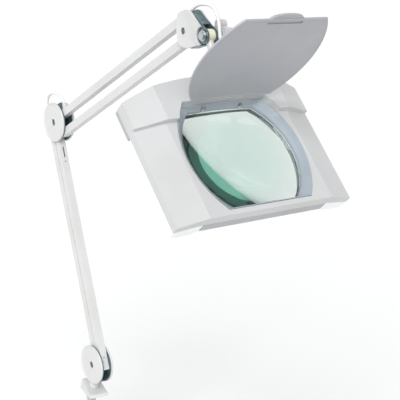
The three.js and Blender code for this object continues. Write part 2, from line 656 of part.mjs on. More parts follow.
function buildLid(head) {
  const [ax, az] = LID_AXIS;
  const lid = group(head, ax, 0, az, -LID_OPEN);
  const low = LID_LOW - az;
  const shift = new THREE.Matrix4().makeTranslation(-ax, 0, low);
  const panel = solid(new THREE.ExtrudeGeometry(barrel(LID), { depth: LID_THICK, bevelEnabled: false })
    .applyMatrix4(shift));
  const front = LID.depth / 2 - ax;
  const tab = new THREE.Shape();
  tab.moveTo(front - 14, -29);
  tab.lineTo(front, -29);
  tab.quadraticCurveTo(front + 7, -25, front + 7.5, 0);
  tab.quadraticCurveTo(front + 7, 25, front, 29);
  tab.lineTo(front - 14, 29);
  const scoop = box(front - 10, front - 5, -31, 31, low - 1, low + 2);
  const rear = -LID.depth / 2 - ax;
  const lug = new THREE.Shape();
  lug.moveTo(rear + 5, low + 0.2);
  lug.lineTo(rear + 5, -0.4);
  lug.lineTo(rear + 1, 3.6);
  lug.lineTo(0, 3.6);
  lug.absarc(0, 0, 3.6, Math.PI / 2, 1.5 * Math.PI, false);
  lug.lineTo(rear - 0.2, -3.6);
  lug.lineTo(rear - 0.2, low + 0.2);
  let cover = panel.add(slabZ(tab, low + 1.2, low + LID_THICK + 1.4)).subtract(scoop);
  for (const side of [-1, 1]) {
    cover = cover.add(slabY(lug, side * 48 - 4.5, side * 48 + 4.5));
  }
  addPart(lid, 'lens_cover', cover.subtract(rodY(1.8, -70, 70, 0, 0, 16)), GREY);
  for (const [name, side] of [['left', -1], ['right', 1]]) {
    addPart(group(head, ax, side * 48, az), `cover_pin_${name}`, rodY(1.5, -11, 11, 0, 0, 16), STEEL);
  }
}

function buildNeck(head) {
  const [kx, kz] = KNUCKLE_IN_HEAD;
  const bushR = 9.8;
  const bush = rodY(bushR, -6.7, 6.7, kx, kz).subtract(rodY(3.8, -20, 20, kx, kz));
  addPart(head, 'knuckle_bush', bush, NYLON);
  const foot = [-112, STEP_UP + 8];
  const reach = Math.hypot(foot[0] - kx, foot[1] - kz);
  const fall = THREE.MathUtils.radToDeg(Math.atan2(foot[1] - kz, foot[0] - kx));
  const strut = new THREE.CylinderGeometry(6, 6, reach - 2, 24).rotateZ(Math.PI / 2).translate(reach / 2 + 1, 0, 0);
  strut.rotateY(THREE.MathUtils.degToRad(-fall)).translate(kx, 0, kz);
  const flange = box(-124, -99, -20, 20, STEP_UP + GAP, STEP_UP + 3.5);
  const boss = slabY(polygon([[-120, 12], [-101, 12], [-105, 19], [-117, 22]]), -8, 8);
  const neck = solid(strut).add(flange).add(boss).subtract(rodY(bushR + GAP, -30, 30, kx, kz));
  addPart(head, 'neck', neck, WHITE);
  for (const [name, side] of [['left', -1], ['right', 1]]) {
    addPart(head, `neck_screw_${name}`, rodZ(3.2, STEP_UP + 3.8, STEP_UP + 5.8, -111, side * 15, 20), STEEL);
  }
  const gland = rodZ(5, STEP_UP + GAP, STEP_UP + 9, -116, 30, 24)
    .subtract(rodZ(LEAD_R + 1, STEP_UP + 4, 30, -116, 30, 16));
  addPart(head, 'head_lead_gland', gland, PLASTIC);
}

function buildHead() {
  const [kx, kz] = KNUCKLE_IN_HEAD;
  const place = new THREE.Vector3(-kx, 0, -kz)
    .applyAxisAngle(new THREE.Vector3(0, 1, 0), THREE.MathUtils.degToRad(HEAD_TILT));
  const head = group(lamp, knuckle[0] + place.x, 0, knuckle[1] + place.z, HEAD_TILT);
  buildHousing(head);
  buildLowerFrame(head);
  buildLens(head);
  buildLamps(head);
  buildSwitch(head);
  buildNeck(head);
  buildLid(head);
}

function buildHeadLead() {
  const [x, z] = endCentre;
  const route = [[2.4, 0, 26.2], [5, 0.5, 30.5], [10.2, 2, 35.1], [19, 4, 38.8], [29.1, 6, 39.7], [37.5, 8, 38],
    [45, 10, 34], [51.5, 10.8, 26.5], [55.6, 11, 16], [57.6, 11, 4], [60, 11, -10], [64, 12.4, -25],
    [70.5, 18.5, -38.5], [76.5, 26, -48], [79.4, 29.7, -54.6], [77, 30, -58.9], [73.2, 30, -62.2], [69, 30, -65.9]];
  addPart(group(lamp, x, 0, z), 'head_lead', lead(route, LEAD_R, 40), WHITE);
}

buildClamp();
buildBase();
buildArms();
buildElbow();
buildArmEnd();
buildHead();
buildHeadLead();

export default lamp;
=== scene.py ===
"""A desk-clamp magnifying lamp: surfaces, materials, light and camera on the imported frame.

Lengths in the pieces' own code are millimetres. Each piece is turned into metres in the part's frame.
"""
import math

import bmesh
import bpy
from mathutils import Matrix, Vector


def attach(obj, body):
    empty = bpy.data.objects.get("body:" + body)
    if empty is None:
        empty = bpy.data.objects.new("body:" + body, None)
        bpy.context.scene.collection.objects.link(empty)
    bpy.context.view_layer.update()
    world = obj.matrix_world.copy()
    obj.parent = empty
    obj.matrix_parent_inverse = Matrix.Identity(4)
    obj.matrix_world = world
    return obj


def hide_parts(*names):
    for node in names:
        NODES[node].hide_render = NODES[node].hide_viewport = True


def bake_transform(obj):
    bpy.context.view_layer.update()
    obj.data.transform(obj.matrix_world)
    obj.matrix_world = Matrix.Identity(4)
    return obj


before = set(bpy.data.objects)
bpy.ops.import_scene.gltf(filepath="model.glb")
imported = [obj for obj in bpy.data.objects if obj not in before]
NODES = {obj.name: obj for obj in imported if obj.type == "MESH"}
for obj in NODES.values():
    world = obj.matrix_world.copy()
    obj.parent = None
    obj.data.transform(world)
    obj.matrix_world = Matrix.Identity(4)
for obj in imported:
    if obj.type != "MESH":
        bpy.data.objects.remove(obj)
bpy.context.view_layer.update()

MM = 0.001

# ---------------------------------------------------------------- the object's driving sizes, in mm
HEAD_TILT = 48.8
LID_OPEN = 92.7
UPPER_ANGLE = 26.1
BASE_CENTRE = (12, 61)
ELBOW_CENTRE = (-101.68, 495.2)
ELBOW_TOP = (-97.18, 504.1)
END_CENTRE = (297.86, 675.23)
KNUCKLE = (342.86, 669.93)
KNUCKLE_IN_HEAD = (-178, 37.5)
LID_AXIS = (-90.3, 13.3)
LID_LOW = 1
LENS_Z = -16
LENS_THICK = 31
LENS_R = 360
OPENING = (148, 30, 167)
LENS = (118, 37, 158)
LID = (145.4, 29.4, 163.6)
COVER_R = 35.8
COVER_IN = 9.3
COVER_OUT = 12.8
LEAD_R = 2.7
CREASE = 112
STEP_X = -60.6
STEP_UP = 9
HEAD_FRONT = 93.5
HEAD_GLAND = (-116, 30)
TUBE = 13
GLAND_ALONG = 26

CAMERA_AT = (1.5170, -0.9141, 0.7483)
CAMERA_AZIMUTH = 52.56
CAMERA_ELEVATION = 12.256
CAMERA_LENS = 90.91
FLOOR_Z = -0.1215


# ---------------------------------------------------------------- frames
def frame_at(x, z, turn_y=0.0):
    """A local frame in mm, placed in the part's frame in metres."""
    place = Matrix.Translation((x * MM, 0, z * MM))
    return place @ Matrix.Rotation(math.radians(turn_y), 4, "Y") @ Matrix.Scale(MM, 4)


def head_origin():
    """The head's own origin, found from the tilt joint."""
    tilt = math.radians(HEAD_TILT)
    x, z = -KNUCKLE_IN_HEAD[0], -KNUCKLE_IN_HEAD[1]
    return (KNUCKLE[0] + x * math.cos(tilt) + z * math.sin(tilt),
            KNUCKLE[1] - x * math.sin(tilt) + z * math.cos(tilt))


BASE = frame_at(*BASE_CENTRE)
ELBOW = frame_at(*ELBOW_CENTRE)
UPPER_TOP = frame_at(*ELBOW_TOP, turn_y=-UPPER_ANGLE)
ARM_END = frame_at(*END_CENTRE)
HEAD = frame_at(*head_origin(), turn_y=HEAD_TILT)
LID_FRAME = HEAD @ Matrix.Translation((LID_AXIS[0], 0, LID_AXIS[1])) @ Matrix.Rotation(
    math.radians(-LID_OPEN), 4, "Y")


# ---------------------------------------------------------------- materials
class Nodes:
    """Adds shader nodes and links to one material."""

    def __init__(self, name):
        self.material = bpy.data.materials.new(name)
        self.material.use_nodes = True
        self.tree = self.material.node_tree
        self.tree.nodes.clear()
        self.shader = self.add("ShaderNodeBsdfPrincipled")
        self.out = self.add("ShaderNodeOutputMaterial")
        self.link(self.shader.outputs["BSDF"], self.out.inputs["Surface"])
        self.where = self.add("ShaderNodeTexCoord").outputs["Object"]

    def add(self, kind, **values):
        node = self.tree.nodes.new(kind)
        for key, value in values.items():
            if key in node.inputs:
                node.inputs[key].default_value = value
            else:
                setattr(node, key, value)
        return node

    def link(self, a, b):
        self.tree.links.new(a, b)

    def noise(self, scale, detail=4.0, rough=0.55, stretch=None):
        node = self.add("ShaderNodeTexNoise")
        node.inputs["Scale"].default_value = scale
        node.inputs["Detail"].default_value = detail
        node.inputs["Roughness"].default_value = rough
        where = self.where
        if stretch:
            mapping = self.add("ShaderNodeMapping")
            mapping.inputs["Scale"].default_value = stretch
            self.link(where, mapping.inputs["Vector"])
            where = mapping.outputs["Vector"]
        self.link(where, node.inputs["Vector"])
        return node.outputs["Fac"]

    def ramp(self, source, low, high, start=0.35, end=0.65):
        node = self.add("ShaderNodeMapRange")
        node.inputs["From Min"].default_value = start
        node.inputs["From Max"].default_value = end
        node.inputs["To Min"].default_value = low
        node.inputs["To Max"].default_value = high
        self.link(source, node.inputs["Value"])
        return node.outputs["Result"]

    def mix(self, factor, a, b):
        node = self.add("ShaderNodeMix", data_type="RGBA")
        colours = [s for s in node.inputs if s.type == "RGBA"]
        for socket, value in zip(colours, (a, b)):
            if isinstance(value, tuple):
                socket.default_value = (*value, 1)
            else:
                self.link(value, socket)
        self.link(factor, node.inputs["Factor"])
        return [s for s in node.outputs if s.type == "RGBA"][0]

    def bump(self, layers):
        """layers of (height, strength, distance in metres), finest last."""
        normal = None
        for height, strength, distance in layers:
            node = self.add("ShaderNodeBump")
            node.inputs["Strength"].default_value = strength
            node.inputs["Distance"].default_value = distance
            self.link(height, node.inputs["Height"])
            if normal:
                self.link(normal, node.inputs["Normal"])
            normal = node.outputs["Normal"]
        self.link(normal, self.shader.inputs["Normal"])

    def set(self, **values):
        for key, value in values.items():
            self.shader.inputs[key.replace("_", " ")].default_value = value


def coated(name, colour, rough, peel=0.1, grain=900, wear=0.5):
    """Paint or moulded plastic: a fine skin, faint mottling and slightly dirtier patches."""
    made = Nodes(name)
    cloud = made.noise(9, 3)
    fine = made.noise(140, 5)
    dirty = tuple(c * (0.955, 0.95, 0.935)[i] for i, c in enumerate(colour))
    pale = tuple(min(1, c * 1.015) for c in colour)
    shade = made.mix(made.ramp(cloud, 0, 1), dirty, pale)
    speck = tuple(c * 0.86 for c in colour)
    spots = made.mix(made.ramp(fine, 0, 0.05 + 0.1 * wear, 0.55, 0.75), shade, speck)
    made.link(spots, made.shader.inputs["Base Color"])
    made.link(made.ramp(made.noise(38, 6), rough - 0.06, rough + 0.09), made.shader.inputs["Roughness"])
    made.bump([(made.noise(60, 2), 0.05, 0.0006), (made.noise(grain, 3), peel, 0.0002)])
    return made.material


def steel(name, colour, rough, streak=(8, 8, 220), metal=1.0):
    """Plated or brushed steel, with fine drawn lines and cloudy patches in the plating."""
    made = Nodes(name)
    lines = made.noise(6, 6, 0.6, streak)
    cloud = made.noise(24, 5, 0.65)
    tone = made.mix(made.ramp(cloud, 0, 1, 0.3, 0.7), tuple(c * 0.72 for c in colour), colour)
    tone = made.mix(made.ramp(lines, 0, 0.35), tone, tuple(min(1, c * 1.3) for c in colour))
    made.link(tone, made.shader.inputs["Base Color"])
    made.link(made.ramp(made.noise(90, 5), rough - 0.08, rough + 0.14), made.shader.inputs["Roughness"])
    made.set(Metallic=metal)
    made.bump([(lines, 0.12, 0.0001), (made.noise(700, 2), 0.05, 0.0001)])
    return made.material


def soft(name, colour, rough, scatter=0.0, grain=420):
    """Nylon, opal plastic or cable sheath: slightly cloudy, with light passing a little way in."""
    made = Nodes(name)
    shade = made.mix(made.ramp(made.noise(70, 4), 0, 1), tuple(c * 0.95 for c in colour), colour)
    made.link(shade, made.shader.inputs["Base Color"])
    made.link(made.ramp(made.noise(110, 4), rough - 0.05, rough + 0.1), made.shader.inputs["Roughness"])
    if scatter:
        made.set(Subsurface_Weight=scatter, Subsurface_Scale=0.004)
    made.bump([(made.noise(grain, 3), 0.08, 0.0002)])
    return made.material


def lens_glass():
    """Clear ground glass, green where light runs a long way through it, with faint smears on its surface."""
    made = Nodes("lens_glass")
    smear = made.noise(26, 6, 0.65)
    made.link(made.ramp(smear, 0.0, 0.02, 0.45, 0.8), made.shader.inputs["Roughness"])
    tint = made.mix(made.ramp(smear, 0, 1, 0.4, 0.7), (0.83, 0.86, 0.835), (0.85, 0.875, 0.85))
    made.link(tint, made.shader.inputs["Base Color"])
    made.set(Transmission_Weight=1.0, IOR=1.52)
    depth = made.add("ShaderNodeVolumeAbsorption")
    depth.inputs["Color"].default_value = (0.10, 0.64, 0.50, 1)
    depth.inputs["Density"].default_value = 9.0
    made.link(depth.outputs["Volume"], made.out.inputs["Volume"])
    return made.material


WHITE = coated("white_paint", (0.575, 0.58, 0.575), 0.36, peel=0.09, grain=750)
SHELL = coated("white_moulding", (0.525, 0.53, 0.535), 0.44, peel=0.14, grain=1500, wear=0.8)
GREY = coated("grey_moulding", (0.38, 0.39, 0.405), 0.46, peel=0.14, grain=1500)
# The lens cover's darker grey is painted shade: it stands for the shadow on the open cover's underside.
LID_PAINTED_SHADE_GREY = coated("cover_moulding_painted_shade", (0.37, 0.375, 0.40), 0.42, peel=0.12, grain=1400)
# The lens well's grey-blue is painted shade: it stands for the shadow on the well's walls down to the lens.
BEZEL_PAINTED_SHADE = coated("bezel_painted_shade", (0.33, 0.375, 0.42), 0.4, peel=0.1, grain=1400)
ZINC = steel("dark_zinc", (0.13, 0.19, 0.21), 0.3, metal=0.7)
SCREW = steel("dull_steel", (0.24, 0.25, 0.25), 0.35)
STEEL = steel("bright_steel", (0.55, 0.56, 0.57), 0.3)
NYLON = soft("ivory_nylon", (0.78, 0.74, 0.58), 0.45, 0.25)
OPAL = soft("opal_acrylic", (0.84, 0.86, 0.86), 0.34, 0.0, 900)
SHEATH = soft("cable_sheath", (0.74, 0.75, 0.74), 0.42, 0.1, 700)
PHOSPHOR = soft("phosphor_glass", (0.86, 0.87, 0.88), 0.25, 0.3, 900)
RUBBER = coated("black_rubber", (0.02, 0.02, 0.022), 0.75, peel=0.3, grain=600)
BLACK = coated("black_moulding", (0.025, 0.026, 0.028), 0.5, peel=0.2, grain=1300)
GLASS = lens_glass()

LOOKS = {
    WHITE: ["clamp_frame", "clamp_cover", "base_cover_near", "base_cover_far", "lower_front_tube",
            "lower_rear_tube", "upper_bottom_tube", "upper_top_tube", "elbow_cover_near", "elbow_cover_far",
            "end_cover_near", "end_cover_far", "neck"],
    SHELL: ["head_housing", "elbow_lead_gland", "head_lead_gland", "tension_knob", "lamp_holder_left",
            "lamp_holder_right"],
    GREY: ["lower_frame"],
    LID_PAINTED_SHADE_GREY: ["lens_cover"],
    BEZEL_PAINTED_SHADE: ["lens_bezel"],
    ZINC: ["base_yoke", "elbow_plate_near", "elbow_plate_far", "end_fork", "base_bolt", "elbow_screw",
           "end_screw", "clamp_screw", "tommy_bar"],
    STEEL: ["base_pin_front", "base_pin_rear", "elbow_pin_a", "elbow_pin_b", "elbow_pin_c", "elbow_pin_d",
            "end_pin_a", "end_pin_b", "tilt_bolt", "neck_screw_left", "neck_screw_right",
            "cover_pin_left", "cover_pin_right", "lower_spring", "upper_spring"],
    NYLON: ["knuckle_bush", "swivel_bush"],
    OPAL: ["diffuser_left", "diffuser_right"],
    SHEATH: ["elbow_lead", "head_lead"],
    PHOSPHOR: ["lamp_tube_left", "lamp_tube_right"],
    RUBBER: ["jaw_pad", "pressure_pad"],
    BLACK: ["ballast", "switch_body", "switch_rocker"],
    GLASS: ["lens"],
}

EDGE_MM = {
    "head_housing": 1.6, "lower_frame": 1.2, "lens_cover": 0.8, "clamp_cover": 1.4, "clamp_frame": 1.0,
    "neck": 0.8, "tension_knob": 1.6, "end_cover_near": 0.7, "end_cover_far": 0.7, "diffuser_left": 2.0,
    "diffuser_right": 2.0, "lower_front_tube": 1.3, "lower_rear_tube": 1.3, "upper_bottom_tube": 1.3,
    "upper_top_tube": 1.3, "base_yoke": 0.4, "elbow_plate_near": 0.4, "elbow_plate_far": 0.4,
    "end_fork": 0.4, "pressure_pad": 0.8, "jaw_pad": 0.5, "tommy_bar": 0.6, "clamp_screw": 0.5,
}


def soften(obj, width, angle=32, segments=3):
    """Rounds the sharp edges without changing the mesh itself."""
    edge = obj.modifiers.new("soft_edges", "BEVEL")
    edge.width = width * MM
    edge.segments = segments
    edge.limit_method = "ANGLE"
    edge.angle_limit = math.radians(angle)
    edge.use_clamp_overlap = True
    edge.harden_normals = True
    edge.miter_outer = "MITER_ARC"


def shade(obj, angle=32):
    obj.data.polygons.foreach_set("use_smooth", [True] * len(obj.data.polygons))
    obj.data.set_sharp_from_angle(angle=math.radians(angle))


def dress_cad():
    for material, names in LOOKS.items():
        for name in names:
            node = NODES[name]
            node.data.materials.clear()
            node.data.materials.append(material)
            shade(node)
            if name in EDGE_MM:
                soften(node, EDGE_MM[name])


# ---------------------------------------------------------------- mesh making
def piece(name, mesh, place, material, body, replaces=(), edge=None, angle=32):
    """A mesh in a local frame in mm becomes a piece that rides on a body."""
    bmesh.ops.recalc_face_normals(mesh, faces=mesh.faces)
    data = bpy.data.meshes.new(name)
    mesh.to_mesh(data)
    mesh.free()
    data.transform(place)
    data.materials.append(material)
    obj = bpy.data.objects.new(name, data)
    bpy.context.scene.collection.objects.link(obj)
    shade(obj, angle)
    if edge:
        soften(obj, edge, angle)
    if body:
        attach(obj, body)
    if replaces:
        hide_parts(*replaces)
    return obj


def lathe_y(profile, sides=96):
    """A closed profile of (radius, y) turned about Y."""
    mesh = bmesh.new()
    rings = []
    for i in range(sides):
        turn = 2 * math.pi * i / sides
        rings.append([mesh.verts.new((r * math.cos(turn), y, r * math.sin(turn))) for r, y in profile])
    count = len(profile)
    for i in range(sides):
        a, b = rings[i], rings[(i + 1) % sides]
        for j in range(count):
            k = (j + 1) % count
            mesh.faces.new((a[j], b[j], b[k], a[k]))
    return mesh


def lathe_z(profile, sides=64):
    """A closed profile of (radius, z) turned about Z."""
    mesh = lathe_y([(r, z) for r, z in profile], sides)
    bmesh.ops.transform(mesh, matrix=Matrix.Rotation(math.radians(90), 4, "X"), verts=mesh.verts)
    bmesh.ops.recalc_face_normals(mesh, faces=mesh.faces)
    return mesh


def smooth_path(points, steps):
    """Catmull-Rom points through the given points."""
    path = [Vector(p) for p in points]
    path = [path[0] * 2 - path[1], *path, path[-1] * 2 - path[-2]]
    made = []
    for i in range(1, len(path) - 2):
        a, b, c, d = path[i - 1:i + 3]
        for s in range(steps):
            t = s / steps
            made.append(0.5 * ((2 * b) + (c - a) * t + (2 * a - 5 * b + 4 * c - d) * t * t
                               + (3 * b - a - 3 * c + d) * t ** 3))
    made.append(path[-2])
    return made


def tube(path, radius, sides=20):
    """A round tube along points, closed at both ends; radius is a number or one number per point."""
    mesh = bmesh.new()
    radii = radius if isinstance(radius, list) else [radius] * len(path)
    side = Vector((0, 1, 0))
    rings = []
    for i, at in enumerate(path):
        ahead = (path[min(i + 1, len(path) - 1)] - path[max(i - 1, 0)]).normalized()
        side = (side - ahead * side.dot(ahead)).normalized()
        up = ahead.cross(side)
        ring = []
        for s in range(sides):
            turn = 2 * math.pi * s / sides
            ring.append(mesh.verts.new(at + (side * math.cos(turn) + up * math.sin(turn)) * radii[i]))
        rings.append(ring)
    for a, b in zip(rings, rings[1:]):
        for s in range(sides):
            t = (s + 1) % sides
            mesh.faces.new((a[s], a[t], b[t], b[s]))
    mesh.faces.new(rings[0])
    mesh.faces.new(rings[-1])
    return mesh


def barrel(size, grow=0.0, steps=28):
    """The outline of the opening, lens and cover: straight front and rear, bowed sides."""
    flat, bulge, depth = size
    half = depth / 2 + grow
    side = flat / 2 + grow * 0.75
    bow = bulge + grow * 0.25
    radius = (half * half + bow * bow) / (2 * bow)
    reach = math.asin(half / radius)
    points = []
    for sign in (1, -1):
        for i in range(steps + 1):
            turn = reach * (-1 + 2 * i / steps) * sign
            points.append((radius * math.sin(turn), sign * (side + bow - radius + radius * math.cos(turn))))
        for i in range(1, 8):
            points.append((sign * half, sign * side * (1 - i / 4)))
    return points


def extrude(outline, low, high, axis):
    """An outline given thickness along an axis: (x, z) along Y, (y, z) along X, or (x, y) along Z."""
    def at(a, b, depth):
        return {"X": (depth, a, b), "Y": (a, depth, b), "Z": (a, b, depth)}[axis]

    mesh = bmesh.new()
    lower = [mesh.verts.new(at(a, b, low)) for a, b in outline]
    upper = [mesh.verts.new(at(a, b, high)) for a, b in outline]
    mesh.faces.new(lower)
    mesh.faces.new(upper)
    for i in range(len(outline)):
        j = (i + 1) % len(outline)
        mesh.faces.new((lower[i], lower[j], upper[j], upper[i]))
    bmesh.ops.recalc_face_normals(mesh, faces=mesh.faces)
    return mesh


def block(x0, x1, y0, y1, z0, z1):
    """A box to add to a mesh or to cut from it."""
    return extrude([(x0, y0), (x1, y0), (x1, y1), (x0, y1)], z0, z1, "Z")


def loft(rings, closed=False):
    """Outlines of equal length, each (points, z), joined in turn; closed joins the last to the first."""
    mesh = bmesh.new()
    rows = [[mesh.verts.new((x, y, z)) for x, y in points] for points, z in rings]
    pairs = list(zip(rows, rows[1:] + rows[:1])) if closed else list(zip(rows, rows[1:]))
    for a, b in pairs:
        for i in range(len(a)):
            j = (i + 1) % len(a)
            mesh.faces.new((a[i], a[j], b[j], b[i]))
    if not closed:
        mesh.faces.new(rows[0])
        mesh.faces.new(rows[-1])
    bmesh.ops.recalc_face_normals(mesh, faces=mesh.faces)
    return mesh


def combine(base, operation, *others):
    """Boolean of meshes: DIFFERENCE, UNION or INTERSECT. Uses up all of them and returns the result."""
    def temporary(mesh, name):
        data = bpy.data.meshes.new(name)
        mesh.to_mesh(data)
        mesh.free()
        obj = bpy.data.objects.new(name, data)
        bpy.context.scene.collection.objects.link(obj)
        return obj

    main = temporary(base, "boolean_base")
    tools = [temporary(mesh, "boolean_tool") for mesh in others]
    for tool in tools:
        cut = main.modifiers.new("cut", "BOOLEAN")
        cut.operation = operation
        cut.solver = "EXACT"
        cut.object = tool
    bpy.context.view_layer.update()
    made = bmesh.new()
    made.from_object(main, bpy.context.evaluated_depsgraph_get())
    for obj in (main, *tools):
        data = obj.data
        bpy.data.objects.remove(obj)
        bpy.data.meshes.remove(data)
    return made


def arc(cx, cz, radius, start, end, steps):
    """Points on an arc, angles in degrees."""
    turns = [math.radians(start + (end - start) * i / steps) for i in range(steps + 1)]
    return [(cx + radius * math.cos(t), cz + radius * math.sin(t)) for t in turns]


def curve(a, b, c, steps=8):
    """A quadratic curve from a to c, pulled towards b; a itself is left out."""
    made = []
    for i in range(1, steps + 1):
        t = i / steps
        made.append(tuple((1 - t) ** 2 * a[k] + 2 * t * (1 - t) * b[k] + t * t * c[k] for k in (0, 1)))
    return made


# ---------------------------------------------------------------- joint covers
def cover_profile(side):
    """A domed cover with a rolled bright rim, a raised ring and a countersunk hole."""
    out = COVER_OUT
    points = [(2.8, COVER_IN), (COVER_R - 0.4, COVER_IN), (COVER_R, COVER_IN + 0.4), (COVER_R, out - 1.2),
              (COVER_R - 0.3, out - 0.5), (COVER_R - 0.9, out - 0.08), (COVER_R - 1.6, out),
              (COVER_R - 2.3, out - 0.12), (COVER_R - 2.9, out - 0.5), (COVER_R - 3.3, out - 0.85),
              (COVER_R - 4.2, out - 0.9), (24, out - 0.62), (12, out - 0.5), (9.0, out - 0.48),
              (8.4, out - 0.3), (7.9, out - 0.05), (7.3, out), (6.7, out - 0.1), (6.2, out - 0.5),
              (5.7, out - 1.0), (5.7, out - 1.9), (2.8, out - 1.9)]
    return [(r, side * y) for r, y in points]


def screw_head(side):
    """A domed screw head with a cross recess, sunk in the cover's hole, on a short shank."""
    top = COVER_OUT - 0.3
    profile = [(0, 7.2), (2.4, 7.2), (2.4, top - 1.5), (3.7, top - 1.4), (3.8, top - 0.9), (3.5, top - 0.45),
               (2.6, top - 0.12), (1.3, top), (0, top)]
    mesh = lathe_y([(r, side * y) for r, y in profile], 40)
    bmesh.ops.remove_doubles(mesh, verts=mesh.verts, dist=0.01)
    bmesh.ops.recalc_face_normals(mesh, faces=mesh.faces)
    low, high = sorted((side * (top - 0.8), side * (top + 1)))
    return combine(mesh, "DIFFERENCE", block(-0.45, 0.45, low, high, -2.1, 2.1),
                   block(-2.1, 2.1, low, high, -0.45, 0.45))


def shield_outline(inset):
    """The arm end's cover: five rounded sides and a round cut that clears the tilt joint."""
    kx, kz = KNUCKLE[0] - END_CENTRE[0], KNUCKLE[1] - END_CENTRE[1]
    d = inset
    points = [(-17.4 + d, 2.0), (-15.4 + d, 21.5)]
    points += curve((-15.4 + d, 21.5), (-12.5 + d, 28.5 - d), (3, 31 - d))
    points += curve((3, 31 - d), (13 - d, 32.5 - d), (19 - d, 27.2 - d))
    points += arc(kx, kz, 13.3 + d, 104.3 + 3 * d, 255.5 - 3 * d, 20)
    points += [(24, -22.3 + d)]
    points += curve((24, -22.3 + d), (4, -28 + d), (-9, -22 + d))
    points += curve((-9, -22 + d), (-15.4 + d, -18), (-17.4 + d, 2.0))[:-1]
    return points


def shield(side):
    """A pressed cover with a rolled edge, a raised ring and a hole for the screw."""
    steps = [(0, COVER_IN), (0, COVER_OUT - 1.0), (0.25, COVER_OUT - 0.4), (0.8, COVER_OUT - 0.05),
             (1.5, COVER_OUT - 0.05), (2.2, COVER_OUT - 0.35)]
    mesh = bmesh.new()
    rows = [[mesh.verts.new((x, side * y, z)) for x, z in shield_outline(d)] for d, y in steps]
    for a, b in zip(rows, rows[1:]):
        for i in range(len(a)):
            j = (i + 1) % len(a)
            mesh.faces.new((a[i], a[j], b[j], b[i]))
    mesh.faces.new(rows[0])
    mesh.faces.new(rows[-1])
    bmesh.ops.recalc_face_normals(mesh, faces=mesh.faces)
    ring = [(5.2, 11), (7.6, 11), (7.3, COVER_OUT - 0.1), (6.6, COVER_OUT), (5.8, COVER_OUT - 0.1)]
    raised = lathe_y([(r, side * y) for r, y in ring], 48)
    bmesh.ops.recalc_face_normals(raised, faces=raised.faces)
    hole = extrude(arc(0, 0, 5, 0, 351, 39), side * (COVER_OUT - 1.9), side * 20, "Y")
    through = extrude(arc(0, 0, 2.8, 0, 348, 29), 0, side * 20, "Y")
    return combine(combine(mesh, "UNION", raised), "DIFFERENCE", hole, through)


def painted_screw_shade(side):
    """A black ring under the screw's head: painted shade for the dark hollow round the screw."""
    low, high = COVER_OUT - 1.85, COVER_OUT - 1.6
    profile = [(2.5, low), (5.6, low), (5.6, high - 0.05), (4.6, high), (2.5, high)]
    return lathe_y([(r, side * y) for r, y in profile], 40)


def joint_covers():
    """The round and shield-shaped covers on both sides of each joint, with their screws."""
    for name, place, body in (("base", BASE, "base"), ("elbow", ELBOW, "elbow")):
        for side_name, side in (("near", -1), ("far", 1)):
            node = f"{name}_cover_{side_name}"
            piece(f"{node}_shell", lathe_y(cover_profile(side)), place, WHITE, body, (node,), angle=50)
    for side_name, side in (("near", -1), ("far", 1)):
        node = f"end_cover_{side_name}"
        piece(f"{node}_shell", shield(side), ARM_END, WHITE, "arm_end", (node,), angle=40)
    screws = (("base", BASE, "base", "base_bolt"), ("elbow", ELBOW, "elbow", "elbow_screw"),
              ("end", ARM_END, "arm_end", "end_screw"))
    for name, place, body, node in screws:
        piece(f"{name}_screw_near", screw_head(-1), place, SCREW, body, (node,), angle=40)
        piece(f"{name}_screw_far", screw_head(1), place, SCREW, body, angle=40)
        # Each screw also gets a black ring under its head, painted shade for the dark hollow round it.
        for side_name, side in (("near", -1), ("far", 1)):
            piece(f"{name}_painted_shade_{side_name}", painted_screw_shade(side), place, BLACK, body, angle=40)


def strap_mesh():
    """The folded strap across the top of the arm end's fork, with raised sides and a square hole."""
    start, end = Vector((13.4, 0, 28.1)), Vector((38.2, 0, 10.7))
    length = (end - start).length
    place = Matrix.Translation(start) @ (end - start).to_track_quat("X", "Z").to_matrix().to_4x4()
    section = [(-8.9, 0.2), (8.9, 0.2), (8.9, 1.5), (8.4, 2.0), (7.6, 2.0), (7.1, 1.4), (6.6, 1.1),
               (-6.6, 1.1), (-7.1, 1.4), (-7.6, 2.0), (-8.4, 2.0), (-8.9, 1.5)]
    strap = combine(extrude(section, 0, length, "X"), "DIFFERENCE", block(4.5, 9.5, -2.6, 2.6, -3, 6),
                    extrude([(x + 21, y) for x, y in arc(0, 0, 1.6, 0, 340, 17)], -3, 6, "Z"))
    bmesh.ops.transform(strap, matrix=place, verts=strap.verts)
    return strap


# ---------------------------------------------------------------- lead entries
def gland_mesh(low, root, neck, height):
    """A rounded entry that a lead runs into: wide where it sits and narrow at the lead."""
    bore = LEAD_R + 0.35
    profile = [(bore, low), (root, low), (root, low + 1.2), (root - 0.5, low + 2.0),
               (neck + 0.8, low + 0.45 * height), (neck + 0.35, low + 0.7 * height),
               (neck, low + height - 0.8), (neck - 0.5, low + height), (bore, low + height)]
    return lathe_z(profile, 48)


